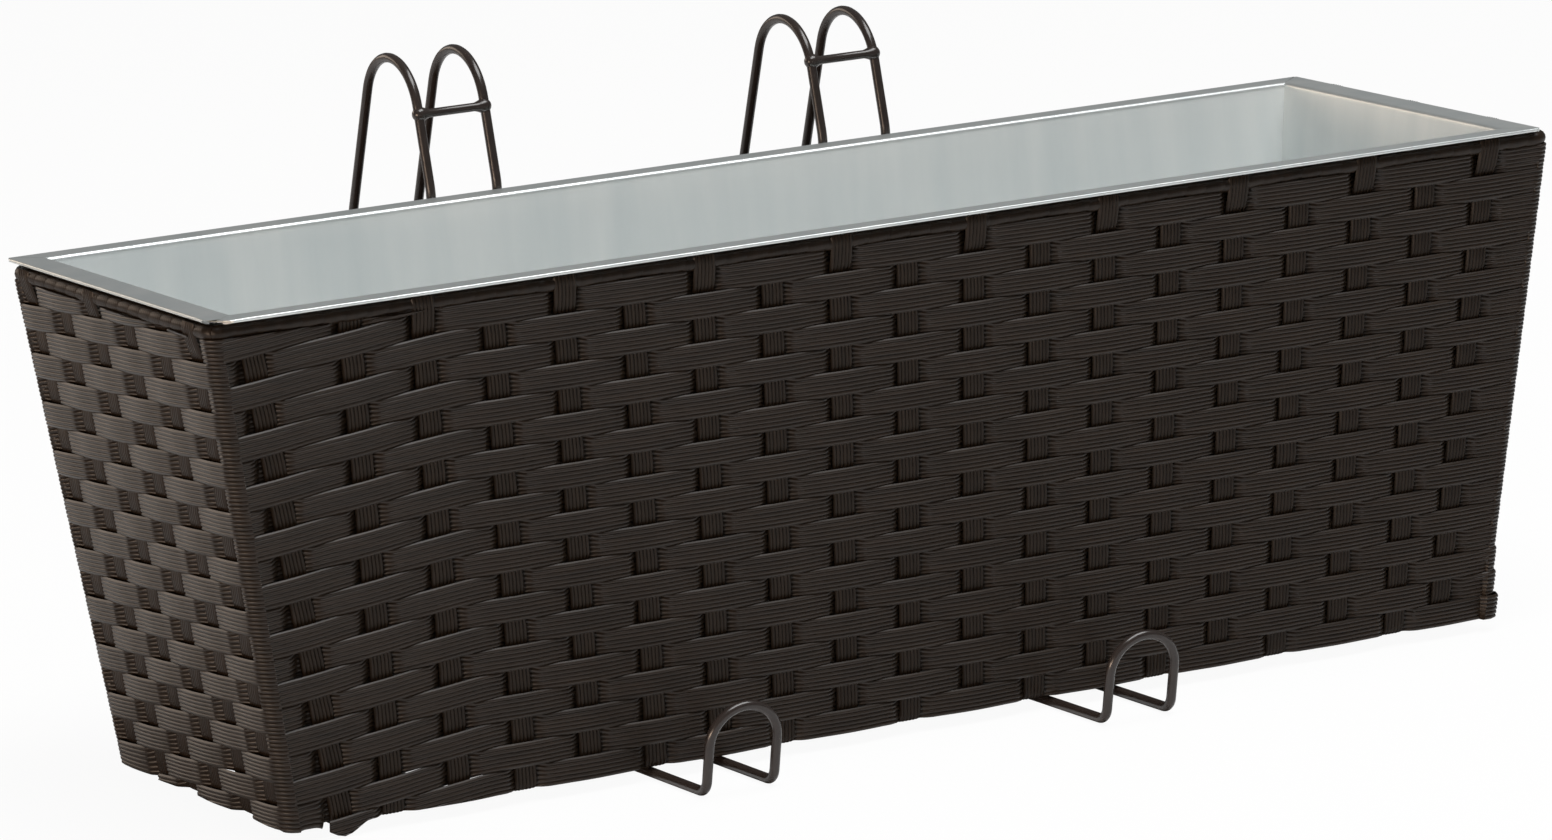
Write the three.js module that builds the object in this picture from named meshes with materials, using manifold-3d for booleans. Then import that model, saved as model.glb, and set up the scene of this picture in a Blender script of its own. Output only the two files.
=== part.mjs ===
// Window box planter: a tapered basket of flat strips woven on a welded steel frame,
// a folded sheet-metal liner that hangs in its rim, and two bent-wire rail hangers.
// Millimetres. +X runs along the box, +Y points to the rail, +Z is up.
// The origin is the middle of the underside of the centre base bar.
import * as THREE from 'three';
import { mergeVertices } from 'three/addons/utils/BufferGeometryUtils.js';
import Module from 'manifold-3d';

const wasm = await Module();
wasm.setup();

// ---------------------------------------------------------------- driving dimensions

const clearance = 0.3; // air between neighbouring pieces

// Woven wall, measured on its middle surface.
const wallLengthTop = 596;
const wallLengthBottom = 540;
const wallWidthTop = 167.5;
const wallWidthBottom = 141.5;
const basketHeight = 199;

// Upright strips.
const stakeWidth = 9;
const stakeThickness = 1.2;
const stakePitch = 30;
// Distances from the corners of a wall, in the order in which a strip is led round: the first
// stake and the second, then the last but one and the last. The rest stand evenly between.
const longStakeMargins = { top: [28, 57, 57, 15], foot: [22.4, 43.6, 43.6, 22] };
const endStakeMargins = { top: [15, 43, 39.5, 11], foot: [12.2, 36, 35.5, 12.2] };

// Level strips.
const rowCount = 20;
const rowGap = 0.5;
const weftThickness = 1;
const sinkLength = 92; // front stretch over which each course starts to sink

// Steel frame.
const rodDiameter = 4;
const topRodInset = 0.6;
const baseBarCount = 5;
const baseBarWidth = 14;
const baseBarThickness = 3;
const baseBarEndSetback = 60;
const baseBarCrank = 3; // how far the ends of a base bar are bent up onto the rods

// Binding round the rim.
const bindingThickness = 1.2;
const bindingLipDrop = 0.6; // how far the binding runs on below the rod

// Sheet-metal liner.
const sheetThickness = 0.7;
const linerSideGap = 1;
const linerEndGap = 7.5;
const linerShiftShare = 0.44; // the liner has slid this share of its end gap
const linerFloorRise = 5;
const sideFlangeWidth = 10;
const endFlangeWidth = 12;
const hemDepth = 1.4;
const hemThickness = 1.1;

// Wire hangers.
const wireDiameter = 4;
const hangerArmSpacing = 29.5;
const leftHangerX = -99;
const rightHangerX = 80;
const archRadius = 22;
const leftArchRise = 30;
const rightArchRise = 25;
const frontLegLean = 13; // degrees
const backLegLean = 24; // degrees
const backLegDrop = 40;
const crossbarRise = 32;
const heelRadius = 8;
const toeRadius = 6;
const toeReach = 34;
const toeHeight = 34;
const toeLean = 20; // degrees

// ---------------------------------------------------------------- materials

const wicker = new THREE.MeshStandardMaterial({ color: 0x2d2823, roughness: 0.55, metalness: 0 });
const paintedSteel = new THREE.MeshStandardMaterial({ color: 0x2a2623, roughness: 0.5, metalness: 0.4 });
const zincSheet = new THREE.MeshStandardMaterial({ color: 0xb2b8b7, roughness: 0.35, metalness: 0.9 });
const hangerWire = new THREE.MeshStandardMaterial({ color: 0x3a3230, roughness: 0.3, metalness: 0.5 });

// ---------------------------------------------------------------- worked-out heights and slopes

const rodRadius = rodDiameter / 2;
const wireRadius = wireDiameter / 2;
const hookClearance = rodRadius + clearance;

const baseRodZ = baseBarCrank - clearance - rodRadius;
const basketBaseZ = baseRodZ - hookClearance - stakeThickness;
const rimTopZ = basketBaseZ + basketHeight;
const topRodZ = rimTopZ - bindingThickness - hookClearance;
const bindingLipZ = topRodZ - rodRadius - clearance - bindingLipDrop;

const riseShare = (z) => (z - basketBaseZ) / basketHeight;
const halfLengthAt = (z) => THREE.MathUtils.lerp(wallLengthBottom, wallLengthTop, riseShare(z)) / 2;
const halfWidthAt = (z) => THREE.MathUtils.lerp(wallWidthBottom, wallWidthTop, riseShare(z)) / 2;

const longWall = {
  top: wallLengthTop,
  foot: wallLengthBottom,
  margins: longStakeMargins,
  halfAt: halfLengthAt,
  distanceAt: halfWidthAt,
};
const endWall = {
  top: wallWidthTop,
  foot: wallWidthBottom,
  margins: endStakeMargins,
  halfAt: halfWidthAt,
  distanceAt: halfLengthAt,
};

// The four walls in the order in which a strip is led round them.
const walls = [
  { name: 'back', along: new THREE.Vector3(1, 0, 0), normal: new THREE.Vector3(0, 1, 0), ...longWall },
  { name: 'right', along: new THREE.Vector3(0, -1, 0), normal: new THREE.Vector3(1, 0, 0), ...endWall },
  { name: 'front', along: new THREE.Vector3(-1, 0, 0), normal: new THREE.Vector3(0, -1, 0), ...longWall },
  { name: 'left', along: new THREE.Vector3(0, 1, 0), normal: new THREE.Vector3(-1, 0, 0), ...endWall },
];

// A point of a wall, from its distance along the wall from the middle, its height, and its
// distance outside the wall's middle surface.
function wallPoint(wall, across, z, out) {
  const point = wall.normal.clone().multiplyScalar(wall.distanceAt(z) + out);
  point.addScaledVector(wall.along, across);
  point.z = z;
  return point;
}

// The same for a straight line up the wall, given by its places at the foot and at the top.
function linePoint(wall, line, z, out) {
  return wallPoint(wall, THREE.MathUtils.lerp(line.foot, line.top, riseShare(z)), z, out);
}

// ---------------------------------------------------------------- solids

function closedGeometry(points, triangles) {
  const geometry = new THREE.BufferGeometry();
  const volume = triangles.reduce((sum, [a, b, c]) => {
    return sum + points[a].dot(new THREE.Vector3().crossVectors(points[b], points[c]));
  }, 0);
  const outward = volume > 0 ? triangles : triangles.map(([a, b, c]) => [a, c, b]);
  geometry.setAttribute('position', new THREE.Float32BufferAttribute(points.flatMap((p) => p.toArray()), 3));
  geometry.setIndex(outward.flat());
  return geometry;
}

// A solid spanned between two copies of one flat outline, each placed by its own function.
function spannedSolid(outline, placeStart, placeEnd) {
  const count = outline.length;
  const points = [...outline.map(placeStart), ...outline.map(placeEnd)];
  const caps = THREE.ShapeUtils.triangulateShape(outline, []);
  const triangles = [];
  for (const [a, b, c] of caps) {
    triangles.push([a, b, c], [count + a, count + c, count + b]);
  }
  const clockwise = THREE.ShapeUtils.isClockWise(outline);
  for (let i = 0; i < count; i += 1) {
    const j = (i + 1) % count;
    const quad = clockwise ? [i, j, count + j, count + i] : [j, i, count + i, count + j];
    triangles.push([quad[0], quad[1], quad[2]], [quad[0], quad[2], quad[3]]);
  }
  return closedGeometry(points, triangles);
}

// A straight bar along a wall, mitred at both corners. Its outline gives the distance outside
// the wall's middle surface at the height z, and the height of each point.
function mitredBar(wall, z, outline) {
  const place = (side) => (p) => {
    const point = wallPoint(wall, side * (wall.halfAt(z) + p.x - clearance / 2), z, p.x);
    point.z = p.y;
    return point;
  };
  return spannedSolid(outline, place(-1), place(1));
}

// A solid through a row of sections with four or more corners each.
function sectionedSolid(sections) {
  const corners = sections[0].length;
  const points = sections.flat();
  const last = (sections.length - 1) * corners;
  const triangles = [];
  for (let s = 0; s < last; s += corners) {
    for (let i = 0; i < corners; i += 1) {
      const j = (i + 1) % corners;
      triangles.push([s + i, s + j, s + corners + j], [s + i, s + corners + j, s + corners + i]);
    }
  }
  for (let i = 1; i < corners - 1; i += 1) {
    triangles.push([0, i + 1, i], [last, last + i, last + i + 1]);
  }
  return closedGeometry(points, triangles);
}

function manifoldOf(geometry) {
  const bare = geometry.clone();
  bare.deleteAttribute('normal');
  bare.deleteAttribute('uv');
  const merged = mergeVertices(bare, 1e-4);
  return new wasm.Manifold(new wasm.Mesh({
    numProp: 3,
    vertProperties: new Float32Array(merged.attributes.position.array),
    triVerts: new Uint32Array(merged.index.array),
  }));
}

function joined(geometries) {
  const solids = geometries.map(manifoldOf);
  const mesh = solids.slice(1).reduce((whole, solid) => whole.add(solid), solids[0]).getMesh();
  const geometry = new THREE.BufferGeometry();
  geometry.setAttribute('position', new THREE.Float32BufferAttribute(mesh.vertProperties, 3));
  geometry.setIndex(Array.from(mesh.triVerts));
  return geometry;
}

// A regular octagon round a circle, with flats at the top, bottom and sides.
function octagon(radius) {
  const cornerRadius = radius / Math.cos(Math.PI / 8);
  return Array.from({ length: 8 }, (_, i) => {
    const angle = Math.PI * (i / 4 + 1 / 8);
    return new THREE.Vector2(cornerRadius * Math.cos(angle), cornerRadius * Math.sin(angle));
  });
}

function named(name, geometry, material) {
  geometry.computeVertexNormals();
  const mesh = new THREE.Mesh(geometry, material);
  mesh.name = name;
  return mesh;
}

// ---------------------------------------------------------------- stakes: the upright strips

function innerBayCount(wall) {
  const [, second, lastButOne] = wall.margins.top;
  return Math.max(1, Math.round((wall.top - second - lastButOne) / stakePitch));
}

// The shortest way along a wall from a stake to its corner, or to the middle of a bay.
function shortestReach(wall) {
  return Math.min(...['top', 'foot'].flatMap((level) => {
    const [first, second, lastButOne, last] = wall.margins[level];
    const bay = (wall[level] - second - lastButOne) / innerBayCount(wall);
    return [first, last, bay / 2, (second - first) / 2, (lastButOne - last) / 2];
  }));
}

// The level strips swing this far to either side of the stakes, enough to clear their edges
// in the tightest bay.
const stackedHalf = (stakeThickness + weftThickness) / 2 + clearance;
const tightestReach = Math.min(shortestReach(longWall), shortestReach(endWall));
const weaveSwing = stackedHalf / (1 - stakeWidth / 2 / tightestReach);
const weaveDepth = weaveSwing + weftThickness / 2;

// The base rod stands inside the level strips, and every stake is folded round it.
const baseRodInset = weaveDepth + clearance + rodRadius;
const foldReach = baseRodInset + hookClearance + stakeThickness;
const foldTopZ = baseRodZ + rodRadius - clearance;

// The folds nearest a corner stay clear of the rod of the next wall.
const leastFootMargin = baseRodInset + rodRadius + clearance + stakeWidth / 2;

// The places of a wall's stakes at its top or foot, from the middle of the wall.
function stakePlaces(wall, level, leastMargin) {
  const [first, second, lastButOne, last] = wall.margins[level];
  const half = wall[level] / 2;
  const bays = innerBayCount(wall);
  const inner = Array.from({ length: bays + 1 }, (_, i) => {
    return THREE.MathUtils.lerp(second - half, half - lastButOne, i / bays);
  });
  return [Math.max(first, leastMargin) - half, ...inner, half - Math.max(last, leastMargin)];
}

// The middle line of each stake of a wall.
function stakeLines(wall) {
  const feet = stakePlaces(wall, 'foot', leastFootMargin);
  return stakePlaces(wall, 'top', 0).map((top, i) => ({ top, foot: feet[i] }));
}

function stakeGeometry(wall, line) {
  const outer = stakeThickness / 2;
  const inner = -foldReach;
  const bevel = stakeThickness;
  const outline = [
    new THREE.Vector2(outer, topRodZ - hookClearance),
    new THREE.Vector2(-outer, topRodZ - hookClearance),
    new THREE.Vector2(-outer, basketBaseZ + stakeThickness),
    new THREE.Vector2(inner + stakeThickness, basketBaseZ + stakeThickness),
    new THREE.Vector2(inner + stakeThickness, foldTopZ),
    new THREE.Vector2(inner, foldTopZ),
    new THREE.Vector2(inner, basketBaseZ + bevel),
    new THREE.Vector2(inner + bevel, basketBaseZ),
    new THREE.Vector2(outer - bevel, basketBaseZ),
    new THREE.Vector2(outer, basketBaseZ + bevel),
  ];
  const place = (side) => (p) => {
    return linePoint(wall, line, p.y, p.x).addScaledVector(wall.along, (side * stakeWidth) / 2);
  };
  return spannedSolid(outline, place(-1), place(1));
}

// The rim binding is open on the inner side below the rod and mitred at the corners.
function bindingGeometry(wall) {
  const turn = Math.PI / 4;
  const innerRadius = hookClearance / Math.cos(turn / 2);
  const outerRadius = (hookClearance + bindingThickness) / Math.cos(turn / 2);
  const ring = (radius, angle) => {
    const out = radius * Math.cos(angle) - topRodInset;
    return new THREE.Vector2(out, topRodZ + radius * Math.sin(angle));
  };
  const angles = [-1, 0, 1, 2, 3].map((i) => (i + 0.5) * turn);
  const lip = stakeThickness / 2;
  const outline = [
    new THREE.Vector2(-lip, bindingLipZ),
    new THREE.Vector2(lip, bindingLipZ),
    ring(outerRadius, -1.2 * turn),
    ...angles.map((angle) => ring(outerRadius, angle)),
    ...angles.map((angle) => ring(innerRadius, angle)).reverse(),
    new THREE.Vector2(-lip, topRodZ - hookClearance - clearance),
  ];
  return mitredBar(wall, topRodZ, outline);
}

function stakePanel(wall) {
  const stakes = stakeLines(wall).map((line) => stakeGeometry(wall, line));
  return named(`${wall.name}_stakes`, joined([bindingGeometry(wall), ...stakes]), wicker);
}

// ---------------------------------------------------------------- courses: the level strips

const weaveTopZ = bindingLipZ - clearance;
const weaveBottomZ = basketBaseZ + stakeThickness + clearance;
const rowPitch = (weaveTopZ - weaveBottomZ) / rowCount;
const weftWidth = rowPitch - rowGap;

// Two strips are led round the basket in turn, each passing outside the stakes that the other
// passes inside. To make room for each other both sink by two rows in a round: one row before
// the front left corner, and one more across the left end.
function sinkAt(wall, line) {
  if (wall.name === 'left') {
    return 1.5 + line.top / wall.top;
  }
  const toCorner = wall.top / 2 - line.top;
  return wall.name === 'front' ? Math.max(0, 1 - toCorner / sinkLength) : 0;
}

// Every place round the basket where a strip crosses a stake or turns a corner.
function ringStations() {
  const stations = [];
  let stakeIndex = 0;
  walls.forEach((wall, index) => {
    const isLast = index === walls.length - 1;
    if (index === 0) {
      const start = weftThickness / 2 + clearance;
      const line = { top: start - wall.top / 2, foot: start - wall.foot / 2 };
      stations.push({ wall, line, swing: 0 });
    }
    for (const line of stakeLines(wall)) {
      stations.push({ wall, line, stakeIndex });
      stakeIndex += 1;
    }
    const past = isLast ? weftThickness / 2 : 0;
    const line = { top: wall.top / 2 + past, foot: wall.foot / 2 + past };
    stations.push({ wall, line, swing: 0, nextWall: walls[index + 1] });
  });
  return stations;
}

function stripPoint(station, z, out) {
  const point = linePoint(station.wall, station.line, z, out);
  return station.nextWall ? point.addScaledVector(station.nextWall.normal, out) : point;
}

// A course runs once round, from the back left corner to the same corner two rows lower.
// Where it would rise above or sink below the woven wall, it is tucked away.
function courseGeometry(row) {
  const leastHeight = 1;
  const sections = [];
  for (const station of ringStations()) {
    const centre = weaveTopZ - (row + sinkAt(station.wall, station.line) + 0.5) * rowPitch;
    const top = Math.min(centre + weftWidth / 2, weaveTopZ);
    const bottom = Math.max(centre - weftWidth / 2, weaveBottomZ);
    if (top - bottom >= leastHeight) {
      const isOutside = (row + station.stakeIndex) % 2 === 0;
      const middle = station.swing ?? (isOutside ? weaveSwing : -weaveSwing);
      const outer = middle + weftThickness / 2;
      const inner = middle - weftThickness / 2;
      sections.push([
        stripPoint(station, top, outer),
        stripPoint(station, bottom, outer),
        stripPoint(station, bottom, inner),
        stripPoint(station, top, inner),
      ]);
    }
  }
  return sectionedSolid(sections);
}

function courses() {
  const rows = Array.from({ length: rowCount + 2 }, (_, i) => i - 2);
  return rows.map((row, i) => {
    const label = String(i + 1).padStart(2, '0');
    return named(`weft_course_${label}`, courseGeometry(row), wicker);
  });
}

// ---------------------------------------------------------------- steel frame

function frameRod(wall, level, z, inset) {
  const outline = octagon(rodRadius).map((p) => new THREE.Vector2(p.x - inset, p.y + z));
  return named(`${level}_rod_${wall.name}`, mitredBar(wall, z, outline), paintedSteel);
}

// Each post stands on the base rods and ends beside the top rods.
const postInset = topRodInset + 2 * rodRadius + clearance;
const postBottomZ = baseRodZ + rodRadius + clearance;
const postTopZ = topRodZ;

function cornerPost(name, sideX, sideY) {
  const place = (z) => (p) => {
    const x = sideX * (halfLengthAt(z) - postInset) + p.x;
    const y = sideY * (halfWidthAt(z) - postInset) + p.y;
    return new THREE.Vector3(x, y, z);
  };
  return named(name, spannedSolid(octagon(rodRadius), place(postBottomZ), place(postTopZ)), paintedSteel);
}

// A flat bar whose ends are cranked up onto the base rods, so that its middle hangs between
// the folded stakes.
function baseBar(index) {
  const endY = halfWidthAt(baseRodZ) - baseRodInset + rodRadius / 2;
  const crankY = halfWidthAt(baseRodZ) - foldReach - clearance;
  const topShift = baseBarThickness * Math.tan(Math.PI / 8);
  const half = [
    new THREE.Vector2(crankY - baseBarCrank, 0),
    new THREE.Vector2(crankY, baseBarCrank),
    new THREE.Vector2(endY, baseBarCrank),
    new THREE.Vector2(endY, baseBarCrank + baseBarThickness),
    new THREE.Vector2(crankY - topShift, baseBarCrank + baseBarThickness),
    new THREE.Vector2(crankY - baseBarCrank - topShift, baseBarThickness),
  ];
  const outline = [...half, ...half.map((p) => new THREE.Vector2(-p.x, p.y)).reverse()];
  const run = wallLengthBottom - 2 * baseBarEndSetback;
  const middleX = (index / (baseBarCount - 1) - 0.5) * run;
  const place = (side) => (p) => new THREE.Vector3(middleX + (side * baseBarWidth) / 2, p.x, p.y);
  return named(`base_bar_${index + 1}`, spannedSolid(outline, place(-1), place(1)), paintedSteel);
}

// ---------------------------------------------------------------- liner: a folded sheet tray

const flangeTopZ = rimTopZ + clearance + hemDepth;
const flangeUnderZ = flangeTopZ - sheetThickness;
const linerBottomZ = baseBarCrank + baseBarThickness + linerFloorRise;
const rimInnerHalfWidth = halfWidthAt(topRodZ) - topRodInset - hookClearance - bindingThickness;
const linerHalfWidthTop = rimInnerHalfWidth - linerSideGap;
const linerHalfWidthBottom = halfWidthAt(linerBottomZ) - foldReach - linerSideGap;
const linerEndInset = postInset + rodRadius + linerEndGap;
const linerRise = (z) => (z - linerBottomZ) / (flangeTopZ - linerBottomZ);
const linerHalfWidth = (z) => THREE.MathUtils.lerp(linerHalfWidthBottom, linerHalfWidthTop, linerRise(z));
const linerHalfLength = (z) => halfLengthAt(z) - linerEndInset;

const foldX = linerHalfLength(flangeTopZ) - sheetThickness;
const foldY = linerHalfWidth(flangeTopZ) - sheetThickness;
const flangeEndX = foldX + sheetThickness + endFlangeWidth;
const flangeEdgeY = foldY + sheetThickness + sideFlangeWidth;
const mitreRun = (flangeEndX - foldX) / (flangeEdgeY - foldY);

// Front flange, front wall, floor, back wall and back flange are one folded sheet.
function linerTrough() {
  const half = [
    new THREE.Vector2(flangeEdgeY, flangeTopZ),
    new THREE.Vector2(flangeEdgeY, flangeTopZ - hemDepth),
    new THREE.Vector2(flangeEdgeY - hemThickness, flangeTopZ - hemDepth),
    new THREE.Vector2(flangeEdgeY - hemThickness, flangeUnderZ),
    new THREE.Vector2(linerHalfWidth(flangeUnderZ), flangeUnderZ),
    new THREE.Vector2(linerHalfWidth(linerBottomZ), linerBottomZ),
  ];
  const inside = [
    new THREE.Vector2(linerHalfWidth(linerBottomZ) - sheetThickness, linerBottomZ + sheetThickness),
    new THREE.Vector2(foldY, flangeTopZ),
  ];
  const mirrored = (points) => points.map((p) => new THREE.Vector2(-p.x, p.y)).reverse();
  const outline = [...half, ...mirrored(half), ...mirrored(inside), ...inside];
  const place = (side) => (p) => {
    const pastFold = Math.abs(p.x) - foldY - sheetThickness;
    const wallEnd = linerHalfLength(p.y) - sheetThickness;
    const mitreEnd = foldX + (Math.abs(p.x) - foldY) * mitreRun;
    const end = pastFold > sheetThickness ? mitreEnd : wallEnd;
    return new THREE.Vector3(side * (end - clearance), p.x, p.y);
  };
  return named('liner_trough', spannedSolid(outline, place(-1), place(1)), zincSheet);
}

// Each end is a plate with its own flange, mitred against the flanges of the trough.
function linerEnd(name, side) {
  const outerX = (z) => linerHalfLength(z);
  const plateTopZ = flangeUnderZ - clearance;
  const neckZ = plateTopZ - 2 * sheetThickness;
  const plate = [
    new THREE.Vector2(outerX(linerBottomZ), linerBottomZ),
    new THREE.Vector2(outerX(plateTopZ), plateTopZ),
    new THREE.Vector2(outerX(plateTopZ) - sheetThickness, plateTopZ),
    new THREE.Vector2(outerX(linerBottomZ) - sheetThickness, linerBottomZ),
  ];
  const flange = [
    new THREE.Vector2(outerX(neckZ) - sheetThickness, neckZ),
    new THREE.Vector2(outerX(neckZ), neckZ),
    new THREE.Vector2(outerX(flangeUnderZ), flangeUnderZ),
    new THREE.Vector2(flangeEndX - hemThickness, flangeUnderZ),
    new THREE.Vector2(flangeEndX - hemThickness, flangeTopZ - hemDepth),
    new THREE.Vector2(flangeEndX, flangeTopZ - hemDepth),
    new THREE.Vector2(flangeEndX, flangeTopZ),
    new THREE.Vector2(foldX, flangeTopZ),
  ];
  const placePlate = (half) => (p) => new THREE.Vector3(side * p.x, half * linerHalfWidth(p.y), p.y);
  const placeFlange = (half) => (p) => {
    const mitreY = foldY + Math.max(0, p.x - foldX) / mitreRun;
    return new THREE.Vector3(side * p.x, half * (mitreY - clearance), p.y);
  };
  const geometry = joined([
    spannedSolid(plate, placePlate(-1), placePlate(1)),
    spannedSolid(flange, placeFlange(-1), placeFlange(1)),
  ]);
  return named(name, geometry, zincSheet);
}

function liner() {
  const group = new THREE.Group();
  group.add(linerTrough(), linerEnd('liner_end_left', -1), linerEnd('liner_end_right', 1));
  group.position.x = -linerShiftShare * linerEndGap;
  return group;
}

// ---------------------------------------------------------------- rail hangers

const legY = flangeEdgeY + clearance + wireRadius;
const armZ = basketBaseZ - clearance - wireRadius;
const kneeZ = flangeTopZ + 2;
const toeY = -halfWidthAt(basketBaseZ) - toeReach;
const frontLean = THREE.MathUtils.degToRad(frontLegLean);
const backLean = THREE.MathUtils.degToRad(backLegLean);
const forwardLean = THREE.MathUtils.degToRad(toeLean);
const frontLegY = (z) => legY + (z - kneeZ) * Math.tan(frontLean);

function arc(centreY, centreZ, radius, startAngle, endAngle, steps) {
  return Array.from({ length: steps + 1 }, (_, i) => {
    const angle = THREE.MathUtils.lerp(startAngle, endAngle, i / steps);
    return [centreY + radius * Math.cos(angle), centreZ + radius * Math.sin(angle)];
  });
}

// One arm of the wire in its own plane, as pairs of y and z, from the back leg's end to the toe.
function armOutline(archRise) {
  const archZ = flangeTopZ + archRise;
  const frontTangentZ = archZ + archRadius * Math.sin(frontLean);
  const archY = frontLegY(frontTangentZ) + archRadius * Math.cos(frontLean);
  const backTangentY = archY + archRadius * Math.cos(backLean);
  const backTangentZ = archZ + archRadius * Math.sin(backLean);
  const backEndZ = flangeTopZ - backLegDrop;
  const backEndY = backTangentY + (backTangentZ - backEndZ) * Math.tan(backLean);
  return [
    [backEndY, backEndZ],
    ...arc(archY, archZ, archRadius, backLean, Math.PI - frontLean, 8),
    [legY, kneeZ],
    ...arc(legY - heelRadius, armZ + heelRadius, heelRadius, 0, -Math.PI / 2, 4),
    ...arc(toeY, armZ + toeRadius, toeRadius, -Math.PI / 2, -Math.PI + forwardLean, 3),
  ].map(([y, z]) => new THREE.Vector3(0, y, z));
}

// Both arms, joined over the toe by a half circle that leans forward.
function hangerPath(archRise) {
  const arm = armOutline(archRise);
  const toeStart = arm[arm.length - 1];
  const half = hangerArmSpacing / 2;
  const rise = new THREE.Vector3(0, -Math.sin(forwardLean), Math.cos(forwardLean));
  const slope = (armZ + toeHeight - toeStart.z) / rise.z - half;
  const centre = toeStart.clone().addScaledVector(rise, slope);
  const steps = 8;
  const bow = Array.from({ length: steps + 1 }, (_, i) => {
    const angle = Math.PI * (1 - i / steps);
    const point = centre.clone().addScaledVector(rise, half * Math.sin(angle));
    point.x = half * Math.cos(angle);
    return point;
  });
  const shifted = (points, x) => points.map((p) => new THREE.Vector3(x, p.y, p.z));
  return [...shifted(arm, -half), ...bow, ...shifted(arm, half).reverse()];
}

// A wire through the points, its section carried along without twist.
function wireSolid(points, radius) {
  let sideways = new THREE.Vector3(1, 0, 0);
  const sections = points.map((point, i) => {
    const ahead = points[Math.min(i + 1, points.length - 1)].clone().sub(point);
    const behind = point.clone().sub(points[Math.max(i - 1, 0)]);
    const direction = ahead.normalize().add(behind.normalize()).normalize();
    sideways = sideways.clone().addScaledVector(direction, -sideways.dot(direction)).normalize();
    const across = new THREE.Vector3().crossVectors(direction, sideways);
    return octagon(radius).map((p) => {
      return point.clone().addScaledVector(sideways, p.x).addScaledVector(across, p.y);
    });
  });
  return sectionedSolid(sections);
}

function hanger(side, x, archRise) {
  const crossbarZ = flangeTopZ + crossbarRise;
  const crossbarReach = hangerArmSpacing / 2 - wireRadius - clearance;
  const crossbarEnds = [-1, 1].map((end) => {
    return new THREE.Vector3(end * crossbarReach, frontLegY(crossbarZ), crossbarZ);
  });
  const place = (end) => (p) => new THREE.Vector3(end.x, end.y + p.x, end.z + p.y);
  const crossbar = spannedSolid(octagon(wireRadius), place(crossbarEnds[0]), place(crossbarEnds[1]));
  const group = new THREE.Group();
  group.add(
    named(`hanger_${side}_wire`, wireSolid(hangerPath(archRise), wireRadius), hangerWire),
    named(`hanger_${side}_crossbar`, crossbar, hangerWire),
  );
  group.position.x = x;
  return group;
}

// ---------------------------------------------------------------- assembly

const planter = new THREE.Group();
planter.add(...walls.map(stakePanel));
planter.add(...courses());
planter.add(...walls.map((wall) => frameRod(wall, 'top', topRodZ, topRodInset)));
planter.add(...walls.map((wall) => frameRod(wall, 'base', baseRodZ, baseRodInset)));
planter.add(
  cornerPost('corner_post_back_left', -1, 1),
  cornerPost('corner_post_back_right', 1, 1),
  cornerPost('corner_post_front_right', 1, -1),
  cornerPost('corner_post_front_left', -1, -1),
);
planter.add(...Array.from({ length: baseBarCount }, (_, i) => baseBar(i)));
planter.add(liner());
planter.add(hanger('left', leftHangerX, leftArchRise), hanger('right', rightHangerX, rightArchRise));

export default planter;
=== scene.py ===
# Window box planter: a tapered basket of ribbed strips woven on a steel frame, a folded
# sheet-metal liner that hangs in its rim, and two bent-wire rail hangers.
# Sizes are in millimetres, and MM turns them into metres when a mesh is made. +X runs along
# the box, +Y points to the rail, +Z is up.
import math
import random
from functools import partial

import bmesh
import bpy
from mathutils import Matrix, Vector


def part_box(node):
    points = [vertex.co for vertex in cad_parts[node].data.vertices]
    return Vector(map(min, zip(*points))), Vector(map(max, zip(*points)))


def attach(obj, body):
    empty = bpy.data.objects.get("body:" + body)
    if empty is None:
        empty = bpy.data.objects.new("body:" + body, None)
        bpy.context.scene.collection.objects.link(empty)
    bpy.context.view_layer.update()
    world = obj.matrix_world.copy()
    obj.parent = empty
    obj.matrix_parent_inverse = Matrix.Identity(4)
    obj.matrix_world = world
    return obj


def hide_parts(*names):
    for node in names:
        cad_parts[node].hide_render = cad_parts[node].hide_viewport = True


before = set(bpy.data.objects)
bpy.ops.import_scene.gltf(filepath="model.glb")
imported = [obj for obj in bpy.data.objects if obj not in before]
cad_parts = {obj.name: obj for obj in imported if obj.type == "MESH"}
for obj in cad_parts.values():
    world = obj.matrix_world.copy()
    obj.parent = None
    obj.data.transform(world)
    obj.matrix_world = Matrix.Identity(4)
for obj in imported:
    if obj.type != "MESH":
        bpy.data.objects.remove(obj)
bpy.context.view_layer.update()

MM = 0.001

# ---------------------------------------------------------------- sizes

CLEARANCE = 0.3
WALL_LENGTH_TOP = 596
WALL_LENGTH_FOOT = 540
WALL_WIDTH_TOP = 167.5
WALL_WIDTH_FOOT = 141.5
BASKET_BASE_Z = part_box("front_stakes")[0].z / MM
RIM_TOP_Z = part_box("front_stakes")[1].z / MM
BASKET_HEIGHT = RIM_TOP_Z - BASKET_BASE_Z
WALL_CORNER_RADIUS = 4

# Distances of the uprights from the corners of a wall, in the order in which a strip is led
# round: the first and the second, then the last but one and the last.
STAKE_PITCH = 30
LONG_MARGINS = {"top": (28, 57, 57, 15), "foot": (22.4, 43.6, 43.6, 22)}
END_MARGINS = {"top": (15, 43, 39.5, 11), "foot": (12.2, 36, 35.5, 12.2)}
STAKE_WIDTH = 9.6
STAKE_THICKNESS = 1.2
STAKE_SWAY = 0.4  # a stake gives way to the strips that press on it

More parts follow.
